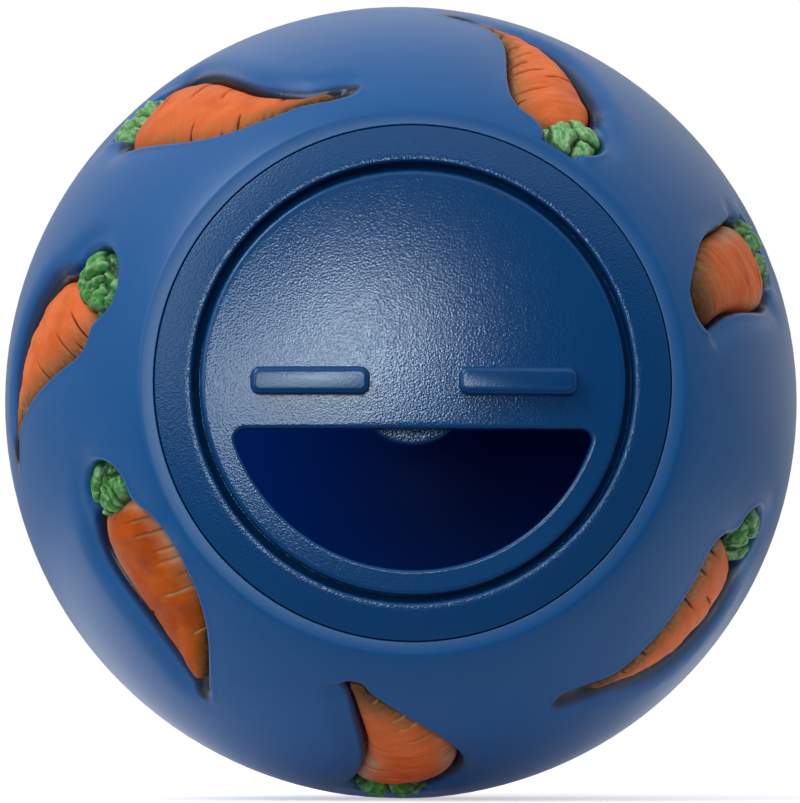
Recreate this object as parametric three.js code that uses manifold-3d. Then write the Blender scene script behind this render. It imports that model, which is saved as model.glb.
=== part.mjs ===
// Snack ball for small pets: a hollow soft ball, a plastic insert in its mouth and a turning shutter.
// The ball's skin has carrots in sunken pockets, orange roots with green leaf tufts.
// Sizes are in millimetres. The pieces are modelled about the ball's centre with x right, y up and
// z out of the mouth, then turned so that the mouth faces -Y and the ball stands on Z = 0.
import * as THREE from 'three';
import { mergeVertices } from 'three/addons/utils/BufferGeometryUtils.js';
import Module from 'manifold-3d';

const wasm = await Module();
wasm.setup();

// Ball skin
const ballRadius = 35;
const skinWall = 3.2;
const landWidth = 1.1;
const collarLength = 2.6;
const lipWall = 1.9;

// Mouth insert
const flangeRadius = 21.45;
const flangeWidth = 3.0;
const flangeProud = 0.15;
const flangeRise = 0.75;
const flangeThickness = 1.75;
const flangeRounding = 0.45;
const sleeveWall = 1.6;
const beadHeight = 0.9;
const beadLength = 1.4;
const plateThickness = 1.5;
const windowRadius = 16.2;
const windowTop = 3.4;
const hubRadius = 5.15;
const hubLength = 3.3;

// Shutter disc
const discEdge = 1.65;
const discDome = 1.0;
const discRounding = 0.4;
const discRim = 2.1;
const openingTop = 3.95;
const openingFillet = 0.9;
const gripLength = 9.9;
const gripWidth = 2.3;
const gripHeight = 1.2;
const gripSpacing = 17.3;
const gripRounding = 0.45;
const studRadius = 2.3;
const studSlot = 1.2;
const barbReach = 0.8;
const barbLength = 1.6;

// Carrots and their pockets
const pocketDepth = 2.3;
const pocketMargin = 0.5;
const pocketFlare = 0.5;
const carrotLength = 20;
const rootHalfWidth = 4.65;
const rootCrown = 1.75;
const tailHalfWidth = 0.4;
const tuftLength = 5;
const tuftHalfWidth = 2.75;
const tuftCrown = 1.2;
const tuftDepth = 1.7;
const tuftLobes = 5;

// Clearances
const seatGap = 0.3;
const seamGap = 0.35;
const discGap = 0.65;

// Each carrot starts at its head: place is the share of the way from the mouth's land to the back of the
// ball, clock the angle round the mouth from the right, and heading turns the tail from straight away from
// the mouth towards a growing clock. Girth is a share of rootHalfWidth. Bend bows the root to one side and
// sway adds a second bow the other way towards the tail, both, like the length, as shares of carrotLength.
// Lean tips the leaf tuft sideways.
const carrots = [
  { place: 0.23, clock: 133, heading: -144, length: 1.08, girth: 1.11, bend: -0.122, sway: 0.048, lean: 22 },
  { place: 0.065, clock: 60.5, heading: 43, length: 0.87, girth: 0.9, bend: -0.105, sway: 0.039, lean: -12 },
  { place: 0.206, clock: 22, heading: -167, length: 0.78, girth: 0.9, bend: -0.03, sway: 0.03, lean: 4 },
  { place: 0.156, clock: -27, heading: -106, length: 0.88, girth: 0.96, bend: 0.127, sway: -0.008, lean: 30 },
  { place: 0.264, clock: -91, heading: -165, length: 0.94, girth: 0.98, bend: -0.162, sway: -0.014, lean: 5 },
  { place: 0.073, clock: -156, heading: 77, length: 0.86, girth: 1, bend: 0.089, sway: -0.016, lean: -22 },
  { place: 0.112, clock: 166.7, heading: 49, length: 0.83, girth: 1, bend: -0.108, sway: 0.008, lean: -13 },
  { place: 0.432, clock: -132, heading: -84, length: 0.9, girth: 1, bend: 0.1, sway: 0.02, lean: 10 },
  { place: 0.468, clock: -86, heading: 70, length: 0.9, girth: 1, bend: -0.11, sway: 0, lean: -15 },
  { place: 0.547, clock: -16, heading: 120, length: 0.9, girth: 1, bend: 0.09, sway: -0.025, lean: 12 },
  { place: 0.454, clock: 32, heading: 76, length: 0.9, girth: 1, bend: 0.11, sway: 0, lean: -18 },
  { place: 0.612, clock: 92, heading: 128, length: 0.9, girth: 1, bend: -0.1, sway: 0.03, lean: 15 },
  { place: 0.511, clock: 178, heading: -62, length: 0.9, girth: 1, bend: 0.12, sway: 0, lean: 0 },
  { place: 0.885, clock: -75, heading: 160, length: 0.9, girth: 1, bend: -0.08, sway: 0.025, lean: -10 },
];

// Facet counts
const roundSides = 48;
const skinArcSteps = 17;
const liningArcSteps = 11;
const smallSides = 24;
const roundingSteps = 3;

// How far a cutting solid runs past the faces that it cuts
const cutReach = 1;

// Sizes that follow from the ones above
const bore = flangeRadius + seamGap;
const landRadius = bore + landWidth;
const landHeight = Math.sqrt(ballRadius ** 2 - landRadius ** 2);
const landPolar = Math.asin(landRadius / ballRadius);
const flangeTop = landHeight + flangeProud;
const flangeBack = flangeTop - flangeThickness;
const lipHeight = flangeTop + flangeRise;
const recessRadius = flangeRadius - flangeWidth;
const lipSeat = flangeBack - seatGap;
const collarRadius = flangeRadius - lipWall + seatGap;
const sleeveRadius = collarRadius - seatGap;
const collarEnd = lipSeat - collarLength;
const discRadius = recessRadius - discGap;
const discTop = lipHeight - seatGap / 2;
const discBack = discTop - discEdge;
const plateTop = discBack - seatGap;
const plateBack = plateTop - plateThickness;
const hubBack = plateTop - hubLength;
const openingRadius = discRadius - discRim;
const radians = Math.PI / 180;

// A closed three.js geometry as a solid that can be joined and cut
function solidOf(geometry) {
  const bare = geometry.clone();
  bare.deleteAttribute('normal');
  bare.deleteAttribute('uv');
  const merged = mergeVertices(bare, 1e-4);
  const corners = merged.index.array;
  const triangles = [];
  for (let i = 0; i < corners.length; i += 3) {
    const [a, b, c] = [corners[i], corners[i + 1], corners[i + 2]];
    if (a !== b && b !== c && c !== a) {
      triangles.push(a, b, c);
    }
  }
  const mesh = new wasm.Mesh({
    numProp: 3,
    vertProperties: Float32Array.from(merged.attributes.position.array),
    triVerts: Uint32Array.from(triangles),
  });
  return new wasm.Manifold(mesh);
}

// A solid back as a geometry with flat-shaded normals
function geometryOf(solid) {
  const mesh = solid.getMesh();
  const geometry = new THREE.BufferGeometry();
  geometry.setAttribute('position', new THREE.BufferAttribute(mesh.vertProperties, 3));
  geometry.setIndex(new THREE.BufferAttribute(mesh.triVerts, 1));
  geometry.computeVertexNormals();
  return geometry;
}

// A profile of [radius, height] points turned about the mouth's axis
function turned(profile, sides = roundSides) {
  const points = profile.map(([radius, height]) => new THREE.Vector2(radius, height));
  return solidOf(new THREE.LatheGeometry(points, sides).rotateX(Math.PI / 2));
}

// A flat outline raised between two heights
function raised(outline, bottom, top) {
  const block = new THREE.ExtrudeGeometry(outline, { depth: top - bottom, bevelEnabled: false });
  return solidOf(block.translate(0, 0, bottom));
}

// Points of an arc in a profile, from one angle to another about a centre
function arc(centreRadius, centreHeight, radius, from, to, steps) {
  return Array.from({ length: steps + 1 }, (_, i) => {
    const angle = from + ((to - from) * i) / steps;
    return [centreRadius + radius * Math.cos(angle), centreHeight + radius * Math.sin(angle)];
  });
}

function outlineOf(points) {
  return new THREE.Shape(points.map(([x, y]) => new THREE.Vector2(x, y)));
}

// Half moon under a straight edge, its two corners rounded
function halfMoon(radius, edgeDrop, fillet) {
  const centreDrop = edgeDrop + fillet;
  const centreReach = Math.sqrt((radius - fillet) ** 2 - centreDrop ** 2);
  const corner = Math.atan2(centreDrop, centreReach);
  const quarter = Math.PI / 2;
  return outlineOf([
    ...arc(0, 0, radius, 2 * quarter + corner, 4 * quarter - corner, smallSides),
    ...arc(centreReach, -centreDrop, fillet, -corner, quarter, roundingSteps).slice(1),
    ...arc(-centreReach, -centreDrop, fillet, quarter, 2 * quarter + corner, roundingSteps).slice(0, -1),
  ]);
}

function disc(radius, sides = smallSides) {
  return outlineOf(arc(0, 0, radius, 0, 2 * Math.PI, sides).slice(0, -1));
}

// A rectangle with rounded corners
function roundedBar(length, width, rounding) {
  const [x, y] = [length / 2 - rounding, width / 2 - rounding];
  const quarter = Math.PI / 2;
  const corners = [[x, y], [-x, y], [-x, -y], [x, -y]];
  return outlineOf(corners.flatMap(([cx, cy], i) => (
    arc(cx, cy, rounding, i * quarter, (i + 1) * quarter, roundingSteps))));
}

// Carrot shape, laid flat: u runs from the head to the tail and v across

function rootLength(carrot) {
  return carrot.length * carrotLength;
}

// The root's centre line bows to one side and back
function centreLine(carrot, u) {
  const share = THREE.MathUtils.clamp(u / rootLength(carrot), 0, 1);
  const bow = carrot.bend * Math.sin(Math.PI * share) + carrot.sway * Math.sin(2 * Math.PI * share);
  return bow * carrotLength;
}

// Half the root's width: a blunt round head, a full belly, then a long taper to the tail
function rootWidth(carrot, u) {
  const headShare = 0.185;
  const headFlatness = 0.12;
  const bellyPower = 1.28;
  const taperPower = 1.2;
  const share = THREE.MathUtils.clamp(u / rootLength(carrot), 0, 1);
  const cap = Math.sqrt(1 - (1 - headFlatness) * (1 - Math.min(1, share / headShare)) ** 2);
  const taper = Math.max(Math.cos((Math.PI / 2) * share ** bellyPower), 0) ** taperPower;
  return Math.max(rootHalfWidth * carrot.girth * cap * taper, tailHalfWidth);
}

// A spot on the leaning oval of the tuft ahead of the head, grown by a margin, at a share of its reach
function tuftSpot(carrot, angle, reach, margin) {
  const lean = carrot.lean * radians;
  const middle = seatGap + tuftLength / 2;
  const ahead = middle + (tuftLength / 2 + margin) * reach * Math.cos(angle);
  const aside = (tuftHalfWidth + margin) * reach * Math.sin(angle);
  return [
    -ahead * Math.cos(lean) - aside * Math.sin(lean),
    ahead * Math.sin(lean) - aside * Math.cos(lean),
  ];
}

// Wraps a carrot's flat point onto the ball, at a height above the skin
function carrotPlace(carrot) {
  const polar = landPolar + carrot.place * (Math.PI - landPolar);
  const [clock, heading] = [carrot.clock * radians, carrot.heading * radians];
  const around = new THREE.Vector3(-Math.sin(clock), Math.cos(clock), 0);
  const out = new THREE.Vector3(0, 0, 1).applyAxisAngle(around, polar);
  const away = around.clone().cross(out);
  const along = away.multiplyScalar(Math.cos(heading)).addScaledVector(around, Math.sin(heading));
  const across = out.clone().cross(along);
  return (u, v, height) => {
    const reach = Math.hypot(u, v) || 1e-9;
    const angle = reach / ballRadius;
    const sideways = along.clone().multiplyScalar(u / reach).addScaledVector(across, v / reach);
    return out.clone().multiplyScalar(Math.cos(angle)).addScaledVector(sideways, Math.sin(angle))
      .multiplyScalar(ballRadius + height);
  };
}

// A closed skin over rings of points, each end closed by a flat fan
function lofted(rings) {
  const size = rings[0].length;
  const positions = rings.flat().flatMap((p) => [p.x, p.y, p.z]);
  const faces = [];
  for (let r = 0; r + 1 < rings.length; r += 1) {
    for (let i = 0; i < size; i += 1) {
      const next = (i + 1) % size;
      const [a, b] = [r * size + i, r * size + next];
      faces.push(a, b, a + size, b, b + size, a + size);
    }
  }
  const last = (rings.length - 1) * size;
  for (let i = 1; i + 1 < size; i += 1) {
    faces.push(0, i + 1, i, last, last + i, last + i + 1);
  }
  const geometry = new THREE.BufferGeometry();
  geometry.setAttribute('position', new THREE.Float32BufferAttribute(positions, 3));
  geometry.setIndex(faces);
  return solidOf(geometry);
}

// Root: half-round across, standing just clear of its pocket's floor
function carrotRoot(carrot) {
  const place = carrotPlace(carrot);
  const base = seatGap - pocketDepth;
  const crownSteps = 6;
  const stations = [0, 0.04, 0.1, 0.2, 0.34, 0.5, 0.66, 0.82, 1];
  const rings = stations.map((share) => {
    const u = share * rootLength(carrot);
    const width = rootWidth(carrot, u);
    const crown = rootCrown * Math.sqrt(width / rootHalfWidth);
    const ring = [place(u, centreLine(carrot, u), base)];
    for (let i = 0; i <= crownSteps; i += 1) {
      const angle = (Math.PI * i) / crownSteps;
      const v = centreLine(carrot, u) + width * Math.cos(angle);
      ring.push(place(u, v, base + crown * Math.sin(angle)));
    }
    return ring;
  });
  return lofted(rings);
}

// Leaf tuft: a low dome with a scalloped edge, one scallop to each leaf. Its rings go from the middle of
// the underside out to the edge and up to the crown.
function carrotLeaves(carrot) {
  const place = carrotPlace(carrot);
  const base = seatGap - tuftDepth;
  const edgePoints = tuftLobes * 3;
  const notch = 0.2;
  const section = [[0, 0.02], [0, 1], [0.6, 0.9], [1, 0.4]];
  const rings = section.map(([rise, reach]) => (
    Array.from({ length: edgePoints }, (_, i) => {
      const angle = (2 * Math.PI * i) / edgePoints;
      const scallop = 1 - notch * (1 - Math.abs(Math.sin((tuftLobes * angle) / 2)));
      const [u, v] = tuftSpot(carrot, angle, reach * scallop, 0);
      return place(u, v, base + rise * tuftCrown * (rise < 1 ? scallop : 1));
    })));
  return lofted(rings);
}

// Root's pocket: its outline with a margin, flaring towards the ball's surface
function rootPocket(carrot) {
  const place = carrotPlace(carrot);
  const start = -pocketMargin;
  const end = rootLength(carrot) + 2 * pocketMargin;
  const steps = 10;
  const endShare = 0.25;
  const rings = Array.from({ length: steps + 1 }, (_, i) => {
    const share = (1 - Math.cos((Math.PI * i) / steps)) / 2;
    const u = start + (end - start) * share;
    const within = Math.min(1, endShare + Math.min(u - start, end - u) / pocketMargin);
    const width = (rootWidth(carrot, u) + pocketMargin) * within;
    const v = centreLine(carrot, u);
    const wide = width + pocketFlare;
    const corners = [[0, -1], [width, -1], [wide, 1], [0, 1], [-wide, 1], [-width, -1]];
    return corners.map(([side, level]) => place(u, v + side, level < 0 ? -pocketDepth : cutReach));
  });
  return lofted(rings);
}

// Leaf tuft's pocket: its oval with a margin, flaring likewise
function tuftPocket(carrot) {
  const place = carrotPlace(carrot);
  const sides = 12;
  const wide = pocketMargin + pocketFlare;
  const section = [
    [-tuftDepth, 0.02, 0],
    [-tuftDepth, 1, pocketMargin],
    [cutReach, 1, wide],
    [cutReach, 0.02, 0],
  ];
  const rings = section.map(([height, reach, margin]) => (
    Array.from({ length: sides }, (_, i) => {
      const [u, v] = tuftSpot(carrot, (2 * Math.PI * i) / sides, reach, margin);
      return place(u, v, height);
    })));
  return lofted(rings);
}

// Ball skin: one hollow moulding with a flat land, a stepped seat and a thick collar at its mouth
function ballShell() {
  const innerRadius = ballRadius - skinWall;
  const back = -Math.PI / 2;
  const outerEnd = Math.asin(landHeight / ballRadius);
  const innerEnd = Math.asin(collarEnd / innerRadius);
  const profile = [
    ...arc(0, 0, ballRadius, back, outerEnd, skinArcSteps),
    [bore, landHeight],
    [bore, lipSeat],
    [collarRadius, lipSeat],
    [collarRadius, collarEnd],
    ...arc(0, 0, innerRadius, innerEnd, back, liningArcSteps),
  ];
  profile[0][0] = 0;
  profile[profile.length - 1][0] = 0;
  let shell = turned(profile);
  for (const carrot of carrots) {
    shell = shell.subtract(rootPocket(carrot)).subtract(tuftPocket(carrot));
  }
  return shell;
}

// Mouth insert: a ring seated on the mouth's step, a sleeve with a snap bead behind the collar,
// and a half plate with the shutter's hub
function mouthInsert() {
  const sleeveInner = sleeveRadius - sleeveWall;
  const beadTop = collarEnd - seatGap;
  const sleeveEnd = beadTop - beadLength;
  const overlap = 0.2;
  const quarter = Math.PI / 2;
  const rimCentre = flangeRadius - flangeRounding;
  const lipCentre = recessRadius + flangeRounding;
  const ring = turned([
    [sleeveInner, sleeveEnd],
    [sleeveRadius, sleeveEnd],
    [sleeveRadius + beadHeight, beadTop - beadHeight / 2],
    [sleeveRadius + beadHeight, beadTop],
    [sleeveRadius, beadTop],
    [sleeveRadius, flangeBack],
    [flangeRadius, flangeBack],
    ...arc(rimCentre, flangeTop - flangeRounding, flangeRounding, 0, quarter, roundingSteps),
    ...arc(lipCentre, lipHeight - flangeRounding, flangeRounding, quarter, 2 * quarter, roundingSteps),
    [recessRadius, plateTop],
    [sleeveInner, plateTop],
    [sleeveInner, sleeveEnd],
  ]);
  const windowOutline = halfMoon(windowRadius, windowTop, openingFillet);
  const window = raised(windowOutline, plateBack - cutReach, plateTop + cutReach);
  const plate = raised(disc(sleeveInner + overlap, roundSides), plateBack, plateTop).subtract(window);
  const hub = raised(disc(hubRadius), hubBack, plateTop);
  const pivotHole = raised(disc(studRadius + seatGap), hubBack - cutReach, plateTop + cutReach);
  return ring.add(plate).add(hub).subtract(pivotHole);
}

// Shutter disc: a low dome with a half-moon opening, two grip bars and a split stud that snaps
// through the hub
function shutterDisc() {
  const quarter = Math.PI / 2;
  const domeSteps = 5;
  const edgeInner = discRadius - discRounding;
  const domeRadius = (edgeInner ** 2 + discDome ** 2) / (2 * discDome);
  const domeAngle = Math.asin(edgeInner / domeRadius);
  const domeCentre = discTop + discDome - domeRadius;
  const dome = arc(0, domeCentre, domeRadius, quarter - domeAngle, quarter, domeSteps);
  dome[domeSteps][0] = 0;
  const body = turned([
    [0, discBack],
    [discRadius, discBack],
    ...arc(edgeInner, discTop - discRounding, discRounding, 0, quarter, roundingSteps),
    ...dome.slice(1),
  ]);
  const openingOutline = halfMoon(openingRadius, openingTop, openingFillet);
  const opening = raised(openingOutline, discBack - cutReach, discTop + discDome + cutReach);

  const barbTop = hubBack - seatGap;
  const barbRadius = studRadius + barbReach;
  const studEnd = barbTop - barbLength;
  const stud = turned([
    [0, studEnd],
    [studRadius - barbReach / 2, studEnd],
    [barbRadius, barbTop - barbLength / 4],
    [barbRadius, barbTop],
    [studRadius, barbTop],
    [studRadius, discTop],
    [0, discTop],
  ], smallSides);
  const slotOutline = roundedBar(2 * (barbRadius + cutReach), studSlot, studSlot / 4);
  const slot = raised(slotOutline, studEnd - cutReach, discBack - seatGap);

  let shutter = body.add(stud.subtract(slot)).subtract(opening);
  for (const side of [-1, 1]) {
    const gripTop = discTop + discDome + gripHeight;
    const grip = new THREE.ExtrudeGeometry(
      roundedBar(gripLength - 2 * gripRounding, gripWidth - 2 * gripRounding, gripRounding),
      {
        depth: gripTop - gripRounding - discBack - seatGap,
        bevelSize: gripRounding,
        bevelThickness: gripRounding,
        bevelSegments: 2,
      },
    );
    grip.translate((side * gripSpacing) / 2, 0, discBack + seatGap);
    shutter = shutter.add(solidOf(grip));
  }
  return shutter;
}

function piece(name, solid, colour, roughness) {
  const material = new THREE.MeshStandardMaterial({ color: colour, roughness, metalness: 0 });
  const mesh = new THREE.Mesh(geometryOf(solid), material);
  mesh.name = name;
  return mesh;
}

const vinylBlue = 0x2a5a9c;
const plasticBlue = 0x1d4f8c;
const carrotOrange = 0xd9682f;
const leafGreen = 0x3f8a4a;

const face = new THREE.Group();
face.add(piece('ball_shell', ballShell(), vinylBlue, 0.45));
face.add(piece('mouth_insert', mouthInsert(), plasticBlue, 0.5));
face.add(piece('shutter_disc', shutterDisc(), plasticBlue, 0.5));
carrots.forEach((carrot, i) => {
  const number = String(i + 1).padStart(2, '0');
  face.add(piece(`carrot_root_${number}`, carrotRoot(carrot), carrotOrange, 0.55));
  face.add(piece(`carrot_leaves_${number}`, carrotLeaves(carrot), leafGreen, 0.55));
});
face.rotation.x = Math.PI / 2;
face.position.z = ballRadius;

const ball = new THREE.Group();
ball.add(face);
export default ball;
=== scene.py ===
import math
from collections import namedtuple

import bmesh
import bpy
import numpy as np
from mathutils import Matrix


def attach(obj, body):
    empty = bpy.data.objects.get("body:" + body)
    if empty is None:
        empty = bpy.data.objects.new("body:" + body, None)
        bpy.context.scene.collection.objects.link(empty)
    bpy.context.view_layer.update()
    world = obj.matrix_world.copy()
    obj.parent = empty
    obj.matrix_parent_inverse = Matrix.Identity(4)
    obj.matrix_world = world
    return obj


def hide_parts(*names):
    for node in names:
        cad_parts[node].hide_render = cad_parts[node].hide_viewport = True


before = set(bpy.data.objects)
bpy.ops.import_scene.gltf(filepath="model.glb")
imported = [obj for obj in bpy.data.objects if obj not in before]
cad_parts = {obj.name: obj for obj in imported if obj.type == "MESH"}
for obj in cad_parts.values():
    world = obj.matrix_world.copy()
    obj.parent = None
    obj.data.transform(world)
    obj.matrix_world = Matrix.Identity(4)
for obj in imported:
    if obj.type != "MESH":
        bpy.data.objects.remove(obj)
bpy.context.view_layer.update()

# Ball skin
# One hollow moulding of soft blue vinyl, 3.2 mm thick, with a flat land and a stepped seat round its mouth.
# Carrot-shaped pockets are sunk into it, with a soft outer slope and a tight edge on the side of the mouth.
# Sizes are in millimetres about the ball's centre: x right, y up, z out of the mouth.
ball_radius = 35.0
skin_wall = 3.2
land_radius = 22.9
bore = 21.66
seat_radius = 19.85
seat_height = 24.57
collar_end = 21.97
land_height = math.sqrt(ball_radius ** 2 - land_radius ** 2)
land_polar = math.asin(land_radius / ball_radius)

carrot_length = 20.0
root_half_width = 4.65
root_crown = 1.9
crest_drop = 0.15
head_power = 2.4
belly_power = 1.28
taper_power = 1.2
crown_power = 0.35
tail_half_width = 0.75
tuft_length = 4.9
tuft_start = 0.2
tuft_half_width = 3.0
tuft_depth = 1.55
rim_wall = 0.42
rim_foot = 0.25
slope_depth = 0.95
slope_run = 2.7
ridge_place = 0.7
ridge_width = 0.2
ridge_share = 0.1
welt_place = 0.15
welt_width = 0.13
welt_height = 0.06
neck_fillet = 1.8
far_off_rim = 9.0

# Each carrot as in the solid model: its head's place between land and back, clock round the mouth, heading,
# length, girth, bend and sway as shares of the carrot length, lean of the leaf tuft, the head's share of the
# root, and how far the head runs on under the leaves and the pocket past the tail
Carrot = namedtuple("Carrot", "place clock heading length girth bend sway lean head_share head_run tail_run")
carrots = [Carrot(*row) for row in (
    (0.23, 133, -144, 1.08, 1.11, -0.122, 0.048, 22, 0.2, 1.2, 1.6),
    (0.061, 61.3, 43, 0.83, 0.9, -0.105, 0.039, -12, 0.2, 1.2, 2.2),
    (0.206, 22, -167, 0.73, 0.9, -0.03, 0.03, 4, 0.2, 1.2, 0.9),
    (0.156, -27, -106, 0.86, 0.96, 0.127, -0.008, 30, 0.2, 0.9, 2.8),
    (0.264, -92.3, -167.4, 0.94, 0.98, -0.162, -0.014, 5, 0.2, 1.0, 0.6),
    (0.073, -156, 77, 0.84, 1, 0.089, -0.016, -22, 0.36, 1.2, 1.6),
    (0.112, 166.7, 49, 0.83, 1, -0.108, 0.008, -13, 0.2, 1.0, 1.4),
    (0.432, -132, -84, 0.9, 1, 0.1, 0.02, 10, 0.2, 1, 1.2),
    (0.468, -86, 70, 0.9, 1, -0.11, 0, -15, 0.2, 1, 1.2),
    (0.547, -16, 120, 0.9, 1, 0.09, -0.025, 12, 0.2, 1, 1.2),
    (0.454, 32, 76, 0.9, 1, 0.11, 0, -18, 0.2, 1, 1.2),
    (0.612, 92, 128, 0.9, 1, -0.1, 0.03, 15, 0.2, 1, 1.2),
    (0.511, 178, -62, 0.9, 1, 0.12, 0, 0, 0.2, 1, 1.2),
    (0.885, -75, 160, 0.9, 1, -0.08, 0.025, -10, 0.2, 1, 1.2),
)]

# What single carrots have of their own: how much of the taper they run through, the length and width of their
# tufts, and how far dark paint mist and painted shade reach up the pocket's outer wall
taper_share = {3: 0.72, 5: 0.93, 6: 0.88}
usual_tuft = (1.15, 1.1)
tuft_size = {1: (1.12, 1.1), 2: (0.95, 1.02), 4: (1.25, 0.88), 6: (0.95, 0.88), 7: (1.15, 1.2)}
usual_stain_and_shade = 1.4
stain_and_shade_reach = {1: 1.5, 2: 1.4, 3: 0.8, 4: 2.2, 5: 1.0, 6: 1.0, 7: 2.2}


def in_frame(points):
    """Points about the ball's centre, in millimetres, as places in the shared frame, in metres."""
    x, y, z = np.moveaxis(np.asarray(points, float), -1, 0)
    return np.stack([x, -z, y + ball_radius], -1) * 0.001


def smooth(low, high, value):
    """0 at low, 1 at high, and an even slope between them."""
    share = np.clip((value - low) / (high - low), 0, 1)
    return share * share * (3 - 2 * share)


def carrot_axes(carrot):
    """Out of the ball at the carrot's head, along its root, and across it."""
    polar = land_polar + carrot.place * (math.pi - land_polar)
    clock, heading = math.radians(carrot.clock), math.radians(carrot.heading)
    around = np.array([-math.sin(clock), math.cos(clock), 0])
    out = np.array([math.cos(clock) * math.sin(polar), math.sin(clock) * math.sin(polar), math.cos(polar)])
    away = np.cross(around, out)
    along = away * math.cos(heading) + around * math.sin(heading)
    return out, along, np.cross(out, along)


def taper(share):
    """The root's full belly and long taper, as a share of its girth."""
    return np.cos(math.pi / 2 * np.clip(share, 0, 1) ** belly_power).clip(0) ** taper_power


def root_outline(carrot, tapered):
    """The root's edge laid flat, along the root from its head and across it, and run on past its tail."""
    whole = carrot.length * carrot_length + carrot.head_run
    quarter = np.linspace(0, math.pi / 2, 60)
    share = np.concatenate([1 - np.cos(quarter), 1 + carrot.tail_run / whole * np.sin(quarter[4::4])])
    bow = (carrot.bend * np.sin(math.pi * share) + carrot.sway * np.sin(2 * math.pi * share)) * carrot_length
    head = (1 - (1 - np.minimum(1, share / carrot.head_share)) ** head_power) ** (1 / head_power)
    width = np.maximum(root_half_width * carrot.girth * taper(share * tapered), tail_half_width) * head
    width *= np.sqrt(1 - np.clip((share - 1) * whole / carrot.tail_run, 0, 1) ** 2)
    along = share * whole - carrot.head_run
    return np.concatenate([np.stack([along, bow + width], -1), np.stack([along, bow - width], -1)[::-1]])


def tuft_outline(lean, size, wide):
    """The edge of the leaf tuft laid flat, an oval ahead of the head."""
    angle = np.linspace(0, 2 * math.pi, 60, endpoint=False)
    ahead = tuft_start + size * tuft_length / 2 * (1 + np.cos(angle))
    aside = wide * tuft_half_width * np.sin(angle) * (1 - 0.12 * np.cos(angle))
    lean = math.radians(lean)
    return np.stack([-ahead * math.cos(lean) - aside * math.sin(lean),
                     ahead * math.sin(lean) - aside * math.cos(lean)], -1)


def from_outline(points, outline):
    """Distance of each flat point from an outline, below zero inside it, and the way out of it there."""
    edge = np.roll(outline, -1, 0) - outline
    apart = points[:, None] - outline
    share = np.clip((apart * edge).sum(-1) / np.maximum((edge * edge).sum(-1), 1e-12), 0, 1)
    apart = apart - share[..., None] * edge
    nearest = (apart ** 2).sum(-1).argmin(1)
    apart = apart[np.arange(len(points)), nearest]
    distance = np.sqrt((apart ** 2).sum(-1))
    (x, y), (start_x, start_y) = points.T[..., None], outline.T
    end_x, end_y = np.roll(outline, -1, 0).T
    rise = np.where(end_y == start_y, 1e-12, end_y - start_y)
    crossed = ((start_y > y) != (end_y > y)) & (x < start_x + (y - start_y) / rise * (end_x - start_x))
    distance *= np.where(crossed.sum(1) % 2 == 1, -1, 1)
    return distance, apart / np.where(np.abs(distance) < 1e-9, 1e-9, distance)[:, None]


def pockets(directions):
    """For directions from the ball's centre: the pockets' depth, the distance to the nearest rim, how far
    brown paint mist and painted shade reach from the nearest root, and the distance to the nearest leaf tuft."""
    count = len(directions)
    depth, rim = np.zeros(count), np.full(count, far_off_rim)
    mist_and_shade, to_tuft = np.zeros(count), np.full(count, far_off_rim)
    for number, carrot in enumerate(carrots, 1):
        tapered = taper_share.get(number, 1)
        out, along, across = carrot_axes(carrot)
        whole = carrot.length * carrot_length + carrot.head_run
        near = np.flatnonzero(directions @ out > math.cos((whole + far_off_rim) / ball_radius))
        angle = np.arccos(np.clip(directions[near] @ out, -1, 1))
        reach = ball_radius * angle / np.maximum(np.sin(angle), 1e-9)
        flat = np.stack([directions[near] @ along * reach, directions[near] @ across * reach], -1)
        groove, groove_way = from_outline(flat, root_outline(carrot, tapered))
        tuft, tuft_way = from_outline(flat, tuft_outline(carrot.lean, *tuft_size.get(number, usual_tuft)))
        blend = np.clip(0.5 + (groove - tuft) / (2 * neck_fillet), 0, 1)
        edge = groove + (tuft - groove) * blend - neck_fillet * blend * (1 - blend)

        # Tight where the edge faces the mouth, on the carrots beside it
        way = groove_way + (tuft_way - groove_way) * blend[:, None]
        turn = math.radians(carrot.heading)
        from_mouth = way @ np.array([math.cos(turn), -math.sin(turn)])
        tight = smooth(-0.75, 0.7, -from_mouth) * (carrot.place < 0.3)

        # The floor follows the root's crown, rises past its tail and is level under the leaves
        share = (flat[:, 0] + carrot.head_run) / whole
        past_tail = smooth(1, 1 + carrot.tail_run / whole, share)
        root_depth = crest_drop + root_crown * np.maximum(taper(share * tapered), 0.05) ** crown_power
        floor = root_depth * (1 - 0.8 * past_tail)
        floor += (tuft_depth - floor) * smooth(0.8, -1.2, flat[:, 0])

        # A steep wall, then a small ridge and a long soft slope away from the mouth, or a thin welt towards it
        slope = np.minimum(slope_depth, 0.55 * floor) * (1 - tight) * (1 - 0.4 * blend)
        climb = np.clip((edge + rim_foot) / (rim_wall + rim_foot), 0, 1)
        sunk = (floor - slope) * (1 - climb ** 3 * (10 - 15 * climb + 6 * climb ** 2))
        ridge = np.exp(-((edge - ridge_place) / ridge_width) ** 2)
        sunk += slope * (smooth(slope_run, 0.2, edge) - ridge_share * ridge)
        sunk -= welt_height * tight * np.exp(-((edge - rim_wall - welt_place) / welt_width) ** 2)
        depth[near] = np.where(np.abs(sunk) > np.abs(depth[near]), sunk, depth[near])
        rim[near] = np.minimum(rim[near], np.maximum(edge - rim_wall, -edge - rim_foot))
        # How far dark paint mist and painted shade reach up the outer wall: less on the mouth's side and towards the
        # tail
        mist_and_shade_reach = 0.3 + stain_and_shade_reach.get(number, usual_stain_and_shade) * (1 - tight) * (1 - 0.35 * smooth(0.7, 1.0, share))
        mist_and_shade[near] = np.maximum(mist_and_shade[near], smooth(mist_and_shade_reach, 0, groove))
        to_tuft[near] = np.minimum(to_tuft[near], tuft)
    return depth, rim, mist_and_shade, to_tuft


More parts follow.
